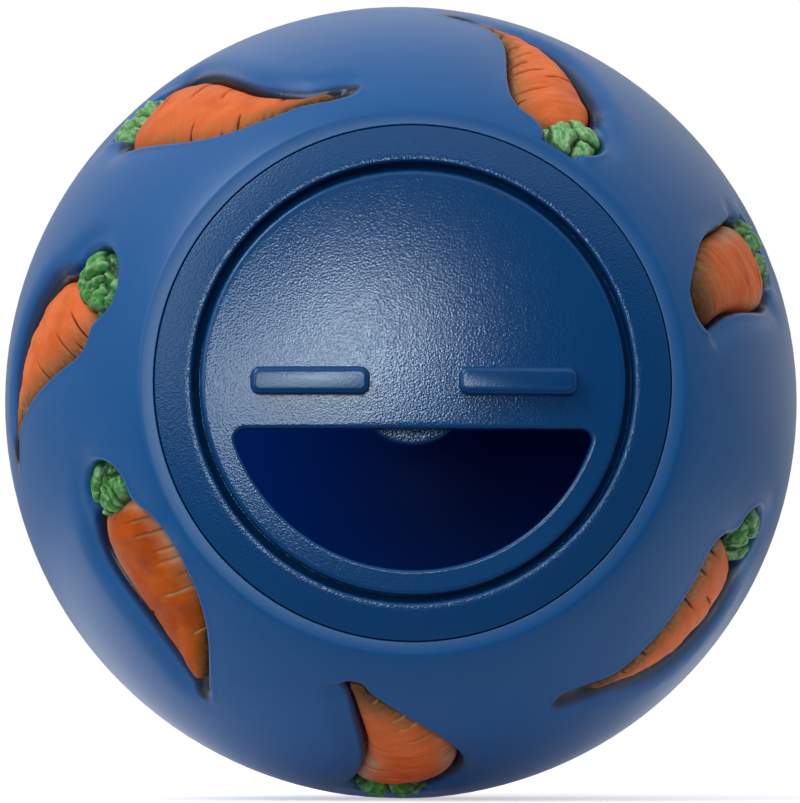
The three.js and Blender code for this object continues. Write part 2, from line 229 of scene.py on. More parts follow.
def rounded(profile, radius, steps=4):
    """A profile with each corner rounded to its radius, or to what its sides leave room for. A point may bring
    a radius of its own."""
    points = [np.array(p[:2], float) for p in profile]
    done = [points[0]]
    for before, corner, after, given in zip(points, points[1:], points[2:], profile[1:]):
        back, ahead = before - corner, after - corner
        wanted = given[2] if len(given) > 2 else radius
        room = min(wanted, 0.45 * np.linalg.norm(back), 0.45 * np.linalg.norm(ahead))
        start, end = (corner + room * way / np.linalg.norm(way) for way in (back, ahead))
        for share in np.linspace(0, 1, steps + 1):
            done.append((1 - share) ** 2 * start + 2 * share * (1 - share) * corner + share ** 2 * end)
    return [*done, points[-1]]


def turn_round(mesh, profile, sides, closed=False):
    """Adds a profile of (radius, height) turned about the mouth's axis, its ends on the axis or closed."""
    angles = np.linspace(0, 2 * math.pi, sides, endpoint=False)
    rings = []
    for radius, height in profile:
        if radius < 1e-6:
            rings.append([mesh.verts.new((0, 0, height))] * sides)
        else:
            rings.append([mesh.verts.new((radius * math.cos(a), radius * math.sin(a), height)) for a in angles])
    pairs = list(zip(rings, rings[1:] + rings[:1] if closed else rings[1:]))
    for low, high in pairs:
        for i in range(sides):
            corners = [low[i - 1], low[i], high[i], high[i - 1]]
            mesh.faces.new([c for n, c in enumerate(corners) if c not in corners[:n]])


def finished(name, mesh, *materials, sharp=35):
    """The mesh as an object in the shared frame, smooth but for edges past an angle in degrees."""
    data = bpy.data.meshes.new(name)
    bmesh.ops.recalc_face_normals(mesh, faces=mesh.faces)
    mesh.to_mesh(data)
    mesh.free()
    places = np.zeros(len(data.vertices) * 3)
    data.vertices.foreach_get("co", places)
    data.vertices.foreach_set("co", in_frame(places.reshape(-1, 3)).ravel())
    for material in materials:
        data.materials.append(material)
    data.shade_smooth()
    data.set_sharp_from_angle(angle=math.radians(sharp))
    piece = bpy.data.objects.new(name, data)
    bpy.context.scene.collection.objects.link(piece)
    return piece


class Wire:
    """A node tree's socket in an expression: values go through Math nodes and vectors through Vector Math."""

    def __init__(self, tree, socket=None):
        self.tree = tree
        self.socket = socket

    def node(self, kind, settings=None, sockets=None, output=0):
        """A new node with its settings, then its sockets, as values or wires, and a wire from one output."""
        made = self.tree.nodes.new(kind)
        for name, value in (settings or {}).items():
            setattr(made, name, value)
        for name, value in (sockets or {}).items():
            if isinstance(value, Wire):
                self.tree.links.new(value.socket, made.inputs[name])
            else:
                made.inputs[name].default_value = value
        return Wire(self.tree, made.outputs[output] if len(made.outputs) else None)

    def of(self, operation, *others):
        """This value, with any others, through one Math operation, or through Vector Math if it is a vector."""
        kind = "ShaderNodeVectorMath" if self.socket.type == "VECTOR" else "ShaderNodeMath"
        return self.node(kind, {"operation": operation}, dict(enumerate((self, *others))))

    def __add__(self, other):
        return self.of("ADD", other)

    def __radd__(self, other):
        return self.of("ADD", other)

    def __sub__(self, other):
        return self.of("SUBTRACT", other)

    def __rsub__(self, other):
        return self.node("ShaderNodeMath", {"operation": "SUBTRACT"}, {0: other, 1: self})

    def __mul__(self, other):
        if self.socket.type == "VECTOR" and not isinstance(other, tuple):
            return self.node("ShaderNodeVectorMath", {"operation": "SCALE"}, {"Vector": self, "Scale": other})
        return self.of("MULTIPLY", other)

    def __rmul__(self, other):
        return self * other

    def __truediv__(self, other):
        return self.of("DIVIDE", other)

    def __pow__(self, other):
        return self.of("POWER", other)

    def smooth(self, low, high):
        """0 below low, 1 above high, and an even slope between them."""
        return self.node("ShaderNodeMapRange", {"interpolation_type": "SMOOTHSTEP"},
                         {"Value": self, "From Min": low, "From Max": high})

    def mix(self, colour, other):
        """One colour where this value is 0, the other where it is 1."""
        return self.node("ShaderNodeMix", {"data_type": "RGBA"}, {0: self, 6: colour, 7: other}, 2)

    def stored(self, name):
        """A value that the mesh carries under this name."""
        return self.node("ShaderNodeAttribute", {"attribute_name": name}, output="Fac")

    def cloudy(self, vector, scale, detail):
        """Noise in three dimensions."""
        return self.node("ShaderNodeTexNoise", sockets={"Vector": vector, "Scale": scale, "Detail": detail})

    def bumped(self, strength, distance):
        """A normal raised by this height."""
        return self.node("ShaderNodeBump", sockets={"Height": self, "Strength": strength, "Distance": distance})


def painted(name, sockets):
    """A new material with a shader whose constant sockets are set, and a wire to build on."""
    material = bpy.data.materials.new(name)
    material.use_nodes = True
    shader = material.node_tree.nodes["Principled BSDF"]
    for socket, value in sockets.items():
        shader.inputs[socket].default_value = value
    return material, shader, Wire(material.node_tree)


def joined(shader, sockets):
    """Links wires to the shader's sockets by name."""
    for name, wire in sockets.items():
        wire.tree.links.new(wire.socket, shader.inputs[name])


skin_sides = 144
on_outside = ball_radius - 0.3
skin = bmesh.new()
inner_radius = ball_radius - skin_wall
outer_polar = np.linspace(math.pi, land_polar, 58)
inner_polar = np.linspace(math.acos(collar_end / inner_radius), math.pi, 40)
mouth_step = rounded([
    (ball_radius * math.sin(outer_polar[-2]), ball_radius * math.cos(outer_polar[-2])),
    (land_radius, land_height - 0.12),
    (bore, land_height, 0.1),
    (bore, seat_height),
    (seat_radius, seat_height),
    (seat_radius, collar_end),
    (inner_radius * math.sin(inner_polar[0]), collar_end),
], 0.28)
turn_round(skin, [
    (0, -ball_radius),
    *((ball_radius * math.sin(p), ball_radius * math.cos(p)) for p in outer_polar[1:-2]),
    *mouth_step,
    *((inner_radius * math.sin(p), inner_radius * math.cos(p)) for p in inner_polar[1:-1]),
    (0, -inner_radius),
], skin_sides)


def places_of(mesh):
    """The mesh's points as directions from the ball's centre and distances from it."""
    places = np.array([v.co for v in mesh.verts])
    length = np.linalg.norm(places, axis=1)
    return places / length[:, None], length


# Facets are halved three times, each time closer to the pockets' rims
for reach in (3.2, 1.7, 0.5):
    directions, length = places_of(skin)
    near_rim = pockets(directions)[1] < reach
    chosen = near_rim & (length > on_outside) & (np.arccos(directions[:, 2]) > land_polar + 0.02)
    skin.verts.index_update()
    edges = [e for e in skin.edges if chosen[e.verts[0].index] and chosen[e.verts[1].index]]
    bmesh.ops.subdivide_edges(skin, edges=edges, cuts=1, use_grid_fill=True)

directions, length = places_of(skin)
depth, rim, mist_and_shade, to_tuft = pockets(directions)
outer = (length > on_outside) & (np.arccos(np.clip(directions[:, 2], -1, 1)) > land_polar + 0.015)
height = np.where(outer, ball_radius - depth, length)
for vert, place in zip(skin.verts, directions * height[:, None]):
    vert.co = place
bmesh.ops.triangulate(skin, faces=[f for f in skin.faces if len(f.verts) > 4])

# Vinyl: deep blue and satin, smoother on the land, with a faint orange peel. Dark and green paint mist lies in and
# round the pockets, and painted shade goes with the dark mist: dark navy on the outer walls, near black by the
# roots.
# The lining's darker, purer blue is painted shade, and on its left a painted glow stands in for the light that comes
# through the skin there.
vinyl, vinyl_shader, vinyl_wire = painted("soft blue vinyl", {
    "IOR": 1.5, "Specular IOR Level": 0.5, "Specular Tint": (0.75, 0.88, 1, 1), "Emission Strength": 1.0})
surface = vinyl_wire.node("ShaderNodeTexCoord", output="Object")
cloud = vinyl_wire.cloudy(surface, 70, 3)
speckle = vinyl_wire.cloudy(surface, 1400, 3)
peel = vinyl_wire.cloudy(surface, 900, 2)
root_mist_and_shade, leaf_mist, lining_shade, painted_glow = map(vinyl_wire.stored, ("root_mist_and_shade", "leaf_mist", "lining_shade", "painted_glow"))
depth_here = vinyl_wire.node("ShaderNodeSeparateXYZ", sockets={"Vector": surface}, output="Y")
polished = depth_here.smooth(-0.0257, -0.0262)
blue = cloud.smooth(0.3, 0.7).mix((0.0052, 0.098, 0.322, 1), (0.0062, 0.105, 0.340, 1))
# Painted shade: dark navy on the pockets' outer walls, then near black with a little brown mist by the roots
painted_wall_shade = root_mist_and_shade.smooth(0.02, 0.6).mix(blue, (0.0008, 0.022, 0.105, 1))
dark_mist_and_shade = speckle.smooth(0.3, 0.7).mix((0.002, 0.005, 0.016, 1), (0.014, 0.011, 0.014, 1))
with_mist_and_shade = (root_mist_and_shade + (speckle - 0.5) * 0.3 * root_mist_and_shade).smooth(0.65, 1.0).mix(painted_wall_shade, dark_mist_and_shade)
green = speckle.smooth(0.35, 0.7).mix((0.006, 0.040, 0.050, 1), (0.022, 0.095, 0.045, 1))
with_green = (leaf_mist + (speckle - 0.5) * 0.5 * leaf_mist).smooth(0.3, 0.95).mix(with_mist_and_shade, green)
joined(vinyl_shader, {
    # Painted shade: the lining's darker, purer blue inside the ball
    "Base Color": lining_shade.mix(with_green, (0.0, 0.026, 0.16, 1)),
    # A painted glow: emission on the lining's left, standing in for light that comes through the skin
    "Emission Color": painted_glow.mix((0, 0, 0, 1), (0.0, 0.012, 0.095, 1)),
    "Roughness": 0.34 + cloud * 0.08 - polished * 0.05 - root_mist_and_shade * 0.12,
    "Normal": peel.bumped(0.06, 0.0001),
})

ball_skin = finished("ball_skin", skin, vinyl)
inside = (length < inner_radius + 0.1) & (directions[:, 2] * length < collar_end - 0.1)
for name, value in (
    ("root_mist_and_shade", np.where(outer, mist_and_shade, 0)),
    ("leaf_mist", np.where(outer, smooth(0.5, -0.1, to_tuft), 0)),
    ("lining_shade", inside),
    ("painted_glow", inside * smooth(0.35, -0.75, directions[:, 0])),
):
    ball_skin.data.attributes.new(name, "FLOAT", "POINT").data.foreach_set("value", value.astype(np.float32))
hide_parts("ball_shell")
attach(ball_skin, "ball")

# Carrot roots
# Half-round reliefs moulded on the pockets' floors and sprayed orange, thin on the flank by the mouth and at
# the tail, where brown shows. Short creases cut in from the mouth's side, as on a real carrot. Painted shade
# darkens the tail's end, the root's foot and the creases that are not cream.


def new_tree(name, inputs):
    """A geometry tree with named inputs, as (name, socket type, default), and wires to them."""
    tree = bpy.data.node_groups.new(name, "GeometryNodeTree")
    tree.interface.new_socket("Geometry", in_out="OUTPUT", socket_type="NodeSocketGeometry")
    for label, kind, default in inputs:
        socket = tree.interface.new_socket(label, in_out="INPUT", socket_type=kind)
        if default is not None:
            socket.default_value = default
    entry = tree.nodes.new("NodeGroupInput")
    return tree, {label: Wire(tree, entry.outputs[label]) for label, _, _ in inputs}


def wrapped(wire, inputs, along, across, height):
    """A flat point of a carrot laid on the ball, in the shared frame."""
    reach = (along * along + across * across).of("SQRT").of("MAXIMUM", 0.0001)
    angle = reach / inputs["Ball Radius"]
    sideways = inputs["Along"] * (along / reach) + inputs["Across"] * (across / reach)
    direction = inputs["Out"] * angle.of("COSINE") + sideways * angle.of("SINE")
    from_centre = direction * ((inputs["Ball Radius"] + height) * 0.001)
    lift = wire.node("ShaderNodeCombineXYZ", sockets={"Z": inputs["Ball Radius"] * 0.001})
    return from_centre + lift


def flat_sheet(wire, rows, columns):
    """A grid of points, how far each lies along it from 0 to 1, and its angle round the relief."""
    grid = wire.node("GeometryNodeMeshGrid", sockets={
        "Size X": 1, "Size Y": 1, "Vertices X": rows, "Vertices Y": columns})
    spot = wire.node("ShaderNodeSeparateXYZ", sockets={"Vector": wire.node("GeometryNodeInputPosition")})
    along, around = (Wire(wire.tree, spot.socket.node.outputs[axis]) + 0.5 for axis in "XY")
    return grid, along, around * (2 * math.pi)


def flat_noise(wire, x, y, scale, detail):
    """Noise on a flat sheet."""
    spot = wire.node("ShaderNodeCombineXYZ", sockets={"X": x, "Y": y})
    return wire.node("ShaderNodeTexNoise", {"noise_dimensions": "2D"}, {
        "Vector": spot, "Scale": scale, "Detail": detail})


def chance(wire, inputs, number, low, high, offset):
    """A value that stays the same for one number and seed."""
    return wire.node("FunctionNodeRandomValue", {"data_type": "FLOAT"},
                     {2: low, 3: high, "ID": number, "Seed": inputs["Seed"] + offset}, 1)


def closed_up(sheet, places, values):
    """The sheet with values stored on its points by name, moved to its places, and its seams closed."""
    for name, value in values.items():
        sheet = sheet.node("GeometryNodeStoreNamedAttribute", {"data_type": "FLOAT", "domain": "POINT"},
                           {"Geometry": sheet, "Name": name, "Value": value})
    laid = sheet.node("GeometryNodeSetPosition", sockets={"Geometry": sheet, "Position": places})
    return sheet.node("GeometryNodeMergeByDistance", sockets={"Geometry": laid, "Distance": 0.000004})


def dressed(geometry, inputs):
    """The tree's end: real geometry, smooth, in its material."""
    real = geometry.node("GeometryNodeRealizeInstances", sockets={"Geometry": geometry})
    shaded = geometry.node("GeometryNodeSetShadeSmooth", sockets={"Geometry": real})
    coated = geometry.node("GeometryNodeSetMaterial", sockets={"Geometry": shaded, "Material": inputs["Material"]})
    geometry.node("NodeGroupOutput", sockets={"Geometry": coated})


ball_inputs = [
    ("Ball Radius", "NodeSocketFloat", ball_radius),
    ("Out", "NodeSocketVector", None),
    ("Along", "NodeSocketVector", None),
    ("Across", "NodeSocketVector", None),
    ("Mouthward", "NodeSocketFloat", 0.0),
    ("Seed", "NodeSocketInt", 0),
    ("Material", "NodeSocketMaterial", None),
]
root_tree, root = new_tree("carrot root", [
    ("Length", "NodeSocketFloat", carrot_length),
    ("Head Run", "NodeSocketFloat", 1.0),
    ("Head Share", "NodeSocketFloat", 0.2),
    ("Bend", "NodeSocketFloat", 0.0),
    ("Sway", "NodeSocketFloat", 0.0),
    ("Half Width", "NodeSocketFloat", root_half_width),
    ("Taper Share", "NodeSocketFloat", 1.0),
    ("Crown", "NodeSocketFloat", root_crown),
    ("Crest Drop", "NodeSocketFloat", crest_drop),
    ("Creases", "NodeSocketFloat", 13.0),
    ("Crease Depth", "NodeSocketFloat", 0.28),
    ("Pale Creases", "NodeSocketFloat", 0.0),
    ("Deep Tone", "NodeSocketFloat", 0.3),
    ("Wear", "NodeSocketFloat", 0.3),
    *ball_inputs,
])
start = Wire(root_tree)
sheet, step, turn = flat_sheet(start, 170, 57)
share = 1 - (step * (math.pi / 2)).of("COSINE")
side = turn.of("COSINE")
rise = turn.of("SINE")

# A blunt round head, a full belly, a long taper and a small round tip
from_head = (share / root["Head Share"]).of("MINIMUM", 1.0)
head = (1 - (1 - from_head) ** head_power).of("MAXIMUM", 0.0) ** (1 / head_power)
tapering = (share * root["Taper Share"]) ** belly_power * (math.pi / 2)
belly = tapering.of("COSINE").of("MAXIMUM", 0.0) ** taper_power
tip = (1 - ((share - 0.95) / 0.05).of("MAXIMUM", 0.0) ** 2.0).of("MAXIMUM", 0.0).of("SQRT")
ends = head * tip
width = (root["Half Width"] * belly).of("MAXIMUM", tail_half_width) * ends
bow = root["Bend"] * (share * math.pi).of("SINE") + root["Sway"] * (share * (2 * math.pi)).of("SINE")

# Creases: one in each step along the root, at a place, on a side and with a reach of its own
slant = share + side * 0.018
step_number = (slant * root["Creases"]).of("FLOOR")
within = (slant * root["Creases"]).of("FRACT")
spot_in_step = chance(start, root, step_number, 0.3, 0.7, 0)
which_side = (chance(start, root, step_number, -1.0, 1.0, 100) + root["Mouthward"] * 0.8).of("SIGN")
crease_reach = chance(start, root, step_number, -0.2, 0.6, 200)
narrow = 1 - (within - spot_in_step).of("ABSOLUTE").smooth(0.02, 0.12)
from_side = (side * which_side).smooth(crease_reach, crease_reach + 0.3)
clear_of_ends = share.smooth(0.05, 0.12) * (1 - share.smooth(0.85, 0.97))
there = chance(start, root, step_number, 0.0, 1.0, 800).smooth(0.2, 0.35)
crease = narrow * from_side * clear_of_ends * there * rise.smooth(0.0, 0.2)

# A low crown with broad ripples and fine stripes, laid on the pocket's floor
ripple = flat_noise(start, share * 9.0 + root["Seed"] * 3.7, side * 1.3, 1.0, 2.0)
stripe = flat_noise(start, share * 42.0 + root["Seed"] * 1.9, side * 1.1, 1.0, 2.0)
swell = 1 + (ripple - 0.5) * 0.25 + (stripe - 0.5) * 0.03
crown = root["Crown"] * belly.of("MAXIMUM", 0.05) ** crown_power
level = (crown + root["Crest Drop"] + 0.1) * -1.0
top = (crown + 0.1) * ends * rise.of("MAXIMUM", 0.0) ** 0.68 * swell - crease * root["Crease Depth"]
under = rise.of("MINIMUM", 0.0) * 0.3
outward = (side * root["Mouthward"] * -1.0).of("MAXIMUM", 0.0)
across = bow + width * side * (1 - crease * 0.04 + outward * 0.04)
along = share * (root["Length"] + root["Head Run"]) - root["Head Run"]
relief = closed_up(sheet, wrapped(start, root, along, across, level + top + under), {
    "share": share, "mouthward": side * root["Mouthward"], "crease": crease, "rise": rise, "stripe": stripe,
    "pale": root["Pale Creases"] * chance(start, root, step_number, 0.3, 1.0, 900),
    "deep": root["Deep Tone"], "wear": root["Wear"]})
dressed(start.node("GeometryNodeFlipFaces", sockets={"Mesh": relief}), root)

# Orange paint: coral on the crest, gold and then brown towards the mouth and the tail, with cream flanks by the
# head.
# Painted shade darkens the tail's end, the root's foot and the creases that are not cream.
orange_paint, orange_shader, orange_wire = painted("orange paint", {"IOR": 1.48, "Specular IOR Level": 0.15})
surface = orange_wire.node("ShaderNodeTexCoord", output="Object")
blotch = orange_wire.cloudy(surface, 380, 4)
grit = orange_wire.cloudy(surface, 2300, 2)
share_here, mouthward_here, crease_here, rise_here = map(
    orange_wire.stored, ("share", "mouthward", "crease", "rise"))
pale_here, deep_here, wear_here, stripe_here = map(orange_wire.stored, ("pale", "deep", "wear", "stripe"))
light_orange = blotch.smooth(0.3, 0.7).mix((0.82, 0.158, 0.033, 1), (0.97, 0.212, 0.062, 1))
deep_orange = blotch.smooth(0.3, 0.7).mix((0.42, 0.062, 0.001, 1), (0.62, 0.112, 0.004, 1))
gold = blotch.smooth(0.35, 0.65).mix((0.66, 0.150, 0.012, 1), (0.86, 0.235, 0.040, 1))
toward_gold = mouthward_here * 0.5 + share_here * 0.5 + (blotch - 0.5) * 1.2 + (grit - 0.5) * 0.8
golden = toward_gold.smooth(0.1, 1.0) * (0.55 - deep_here * 0.4)
bright = golden.mix(deep_here.mix(light_orange, deep_orange), gold)
worn_light = grit.smooth(0.3, 0.7).mix((0.140, 0.072, 0.024, 1), (0.400, 0.205, 0.090, 1))
worn_deep = grit.smooth(0.3, 0.7).mix((0.070, 0.030, 0.004, 1), (0.240, 0.092, 0.010, 1))
worn = deep_here.mix(worn_light, worn_deep)
towards_edges = mouthward_here * 0.85 + share_here.smooth(0.5, 1.0) * 0.6 + (1 - rise_here) * 0.35
thin = towards_edges + wear_here * 0.45 - deep_here * 0.35
mottled = (blotch - 0.5) * 0.7 + (grit - 0.5) * 0.7 - (stripe_here - 0.5) * 0.2
browned = (thin + mottled).smooth(0.15, 1.0).mix(bright, worn)
by_head = 1 - (share_here + (blotch - 0.5) * 0.5).smooth(0.3, 0.55)
flank_here = ((1 - rise_here) + (1 - share_here.smooth(0.0, 0.1)) * 0.5 + (grit - 0.5) * 0.25).smooth(0.06, 0.45)
creamy = flank_here * by_head * pale_here ** 0.5 * (0.9 - deep_here * 0.45)
browned = creamy.mix(browned, (0.72, 0.50, 0.34, 1))
# The tail's end goes near black: painted shade in the pocket's end together with worn brown paint, more on worn
# carrots
shaded_tail_end = (share_here + (grit - 0.5) * 0.12).smooth(0.78, 0.97)
browned = (shaded_tail_end * (0.2 + wear_here * 0.75)).mix(browned, (0.035, 0.022, 0.012, 1))
# Dark creases are painted shade in the slits; pale creases are cream paint
crease_shade_and_cream = pale_here.mix((0.075, 0.022, 0.006, 1), (0.72, 0.48, 0.24, 1))
creased = (crease_here * 1.1).smooth(0.15, 0.9).mix(browned, crease_shade_and_cream)
# Painted shade along the root's foot, where it meets the pocket's floor
shaded_foot = (1 - rise_here.smooth(0.03, 0.2)).mix(creased, (0.030, 0.016, 0.010, 1))
joined(orange_shader, {
    "Base Color": shaded_foot,
    "Roughness": 0.42 + blotch * 0.2,
    "Normal": grit.bumped(0.12, 0.0001),
})


def grown(name, tree, values):
    """The tree's result for these inputs as a plain mesh object."""
    holder = bpy.data.objects.new(name + "_start", bpy.data.meshes.new(name + "_start"))
    bpy.context.scene.collection.objects.link(holder)
    modifier = holder.modifiers.new("shape", "NODES")
    modifier.node_group = tree
    for item in tree.interface.items_tree:
        if item.in_out == "INPUT" and item.name in values:
            modifier[item.identifier] = values[item.name]
    data = bpy.data.meshes.new_from_object(holder.evaluated_get(bpy.context.evaluated_depsgraph_get()))
    bpy.data.objects.remove(holder)
    while data.materials and data.materials[0] is None:
        data.materials.pop(index=0)
    data.name = name
    piece = bpy.data.objects.new(name, data)
    bpy.context.scene.collection.objects.link(piece)
    return piece


def ball_values(number, carrot, material):
    """The inputs that lay a carrot on the ball, its axes turned to the shared frame."""
    out, along, across = ((x, -z, y) for x, y, z in carrot_axes(carrot))
    return {"Out": out, "Along": along, "Across": across, "Mouthward": math.sin(math.radians(carrot.heading)),
            "Seed": number, "Material": material}


# How pale the creases are, how deep the orange is and how worn the paint is, for single carrots and for the rest
usual_look = (0, 0.3, 0.3)
looks = {1: (0, 0.35, 0.35), 2: (0, 0, 0.2), 3: (0.4, 0.2, 0.6), 4: (0.1, 0.1, 0.45), 5: (0.9, 0.1, 0.5),
         6: (0.9, 1, 0.1), 7: (0, 0.2, 0.4)}
for number, carrot in enumerate(carrots, 1):
    pale_creases, deep_tone, wear = map(float, looks.get(number, usual_look))
    carrot_root = grown(f"carrot_root_{number:02d}_painted", root_tree, {
        "Length": carrot.length * carrot_length, "Half Width": carrot.girth * root_half_width,
        "Bend": carrot.bend * carrot_length, "Sway": carrot.sway * carrot_length,
        "Head Share": carrot.head_share, "Head Run": float(carrot.head_run),
        "Taper Share": float(taper_share.get(number, 1)),
        "Pale Creases": pale_creases, "Deep Tone": deep_tone, "Wear": wear,
        **ball_values(number, carrot, orange_paint)})
    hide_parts(f"carrot_root_{number:02d}")
    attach(carrot_root, "ball")

# Leaf tufts
# A bunch of wrinkled leaves that fan out ahead of each root, moulded as one relief on the pocket's floor and
# sprayed green, with painted shade between the leaves and painted highlights in pale green on their raised folds.
leaf_floor = -1.6
tuft_tree, tuft = new_tree("leaf tuft", [
    ("Tuft Start", "NodeSocketFloat", tuft_start),
    ("Tuft Length", "NodeSocketFloat", tuft_length),
    ("Tuft Half Width", "NodeSocketFloat", tuft_half_width),
    ("Lean", "NodeSocketFloat", 0.0),
    ("Floor", "NodeSocketFloat", leaf_floor),
    ("Rise", "NodeSocketFloat", 1.55),
    ("Leaf Length", "NodeSocketFloat", 3.0),
    ("Leaf Spread", "NodeSocketFloat", 0.46),
    ("Leaf Highlight", "NodeSocketFloat", 0.0),
    *ball_inputs,
])
start = Wire(tuft_tree)
sheet, step, turn = flat_sheet(start, 81, 121)
step = step * 2.0
from_middle = 1 - (step - 1.0).of("ABSOLUTE")
on_top = step.of("LESS_THAN", 1.0)
own_place = tuft["Seed"] * 5.3

# An oval with a frilled edge
frill = 1 + (flat_noise(start, turn.of("COSINE") + own_place, turn.of("SINE"), 1.6, 2.0) - 0.5) * 0.45
out_x = from_middle * turn.of("COSINE") * frill
out_y = from_middle * turn.of("SINE") * frill
ahead = tuft["Tuft Start"] + tuft["Tuft Length"] * 0.5 * (out_x + 1.0)
aside = tuft["Tuft Half Width"] * out_y * (1 - out_x * 0.12)

# Leaves: cells that fan out from a root behind the head, with sunken gaps that get painted shade, folds of their own
# and fine wrinkles
from_fan_root = ahead + 2.5
fan_x = (from_fan_root ** 2.0 + aside * aside).of("SQRT") / tuft["Leaf Length"]
fan_y = aside.of("ARCTAN2", from_fan_root) / tuft["Leaf Spread"]
bent_x = fan_x + (flat_noise(start, fan_x + own_place, fan_y, 1.7, 1.0) - 0.5) * 0.7
cell = start.node("ShaderNodeCombineXYZ", sockets={"X": bent_x + tuft["Seed"] * 7.0, "Y": fan_y})
leaf_cell = {"Vector": cell, "Scale": 1.0, "Randomness": 0.75}
to_gap = start.node("ShaderNodeTexVoronoi", {"voronoi_dimensions": "2D", "feature": "DISTANCE_TO_EDGE"},
                    leaf_cell, "Distance")
leaf_tint = start.node("ShaderNodeTexVoronoi", {"voronoi_dimensions": "2D", "feature": "F1"},
                       leaf_cell, "Color") * 1.0
clear = to_gap.smooth(0.0, 0.22)
wrinkle = flat_noise(start, fan_x * 1.7 + own_place, fan_y * 2.6, 1.8, 3.0)
dome_over = (1 - from_middle ** 4.5).of("MAXIMUM", 0.0).of("SQRT")
leaf_height = tuft["Rise"] * (0.6 + clear * 0.4) + (leaf_tint - 0.5) * 0.25 + (wrinkle - 0.5) * 0.75
height = tuft["Floor"] + dome_over * (on_top * leaf_height - (1 - on_top) * 0.25)
along = ahead * tuft["Lean"].of("COSINE") * -1.0 - aside * tuft["Lean"].of("SINE")
across = ahead * tuft["Lean"].of("SINE") - aside * tuft["Lean"].of("COSINE")
dressed(closed_up(sheet, wrapped(start, tuft, along, across, height), {
    "tint": leaf_tint, "gap": 1 - clear * dome_over, "wrinkle": wrinkle, "leaf_highlight": tuft["Leaf Highlight"]}), tuft)

# Green paint: painted shade between the leaves, painted highlights in pale green on the raised folds, with small
# glints
green_paint, green_shader, green_wire = painted("green paint", {"IOR": 1.48, "Specular IOR Level": 0.5})
surface = green_wire.node("ShaderNodeTexCoord", output="Object")
patch = green_wire.cloudy(surface, 1300, 3)
tint_here, gap_here, wrinkle_here, leaf_highlight_here = map(green_wire.stored, ("tint", "gap", "wrinkle", "leaf_highlight"))
leaf_green = tint_here.smooth(0.2, 0.8).mix((0.014, 0.190, 0.016, 1), (0.045, 0.300, 0.040, 1))
# Painted highlight: pale green on the raised folds, more of it on carrots given extra leaf highlight
highlight_mask = wrinkle_here * 0.9 + patch * 0.5 + leaf_highlight_here * 0.3
pale = highlight_mask.smooth(0.58, 0.98).mix(leaf_green, (0.26, 0.55, 0.23, 1))
# Painted shade in the gaps between the leaves
shaded_green = gap_here.smooth(0.45, 1.0).mix(pale, (0.009, 0.068, 0.017, 1))
joined(green_shader, {
    "Base Color": shaded_green,
    "Roughness": 0.26 + patch * 0.15,
    "Normal": patch.bumped(0.5, 0.0002),
})

# How much more painted highlight the leaves of single carrots get
leaf_highlight = {1: 0.3, 2: 0.7}
leaf_rise = {2: 1.2}
for number, carrot in enumerate(carrots, 1):
    long, wide = tuft_size.get(number, usual_tuft)
    carrot_leaves = grown(f"carrot_leaves_{number:02d}_painted", tuft_tree, {
        "Tuft Length": tuft_length * long, "Tuft Half Width": tuft_half_width * wide,
        "Rise": leaf_rise.get(number, 1.5), "Lean": math.radians(carrot.lean), "Leaf Highlight": leaf_highlight.get(number, 0.0),
        **ball_values(number, carrot, green_paint)})
    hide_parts(f"carrot_leaves_{number:02d}")
    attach(carrot_leaves, "ball")

# Mouth insert
# A hard blue plastic ring with a fine moulded grain. Its flange rises to a lip round the shutter's recess, a
# sleeve with a snap bead holds it behind the skin's collar, and a half plate carries the hub.
flange_radius = 21.56
flange_top = 26.62
flange_back = 24.87
lip_height = 27.37
recess_radius = 18.45
sleeve_radius = 19.55
sleeve_inner = 17.95
sleeve_end = 20.27
bead_top = 21.67
bead_reach = 0.9
plate_top = 25.27
plate_back = 23.77
window_radius = 16.2
window_top = 3.4
hub_radius = 5.15
hub_back = 21.97
stud_hole = 2.6
corner_fillet = 0.9


def moon_outline(radius, drop, fillet, count):
    """A half moon under a straight edge with rounded corners: points, and the ways out of it."""
    centre_drop = drop + fillet
    reach = math.sqrt((radius - fillet) ** 2 - centre_drop ** 2)
    corner = math.atan2(centre_drop, reach)
    quarter = math.pi / 2
    arcs = [
        ((0, 0), radius, 2 * quarter + corner, 4 * quarter - corner, 0.5),
        ((reach, -centre_drop), fillet, -corner, quarter, 0.12),
        (None, 2 * reach, 0, 0, 0.26),
        ((-reach, -centre_drop), fillet, quarter, 2 * quarter + corner, 0.12),
    ]
    points, ways = [], []
    for centre, size, start, end, part in arcs:
        steps = round(count * part)
        for i in range(steps):
            if centre is None:
                points.append((reach - size * (i + 0.5) / steps, -drop))
                ways.append((0, 1))
            else:
                angle = start + (end - start) * (i + 0.5) / steps
                ways.append((math.cos(angle), math.sin(angle)))
                points.append((centre[0] + size * ways[-1][0], centre[1] + size * ways[-1][1]))
    return np.array(points), np.array(ways)


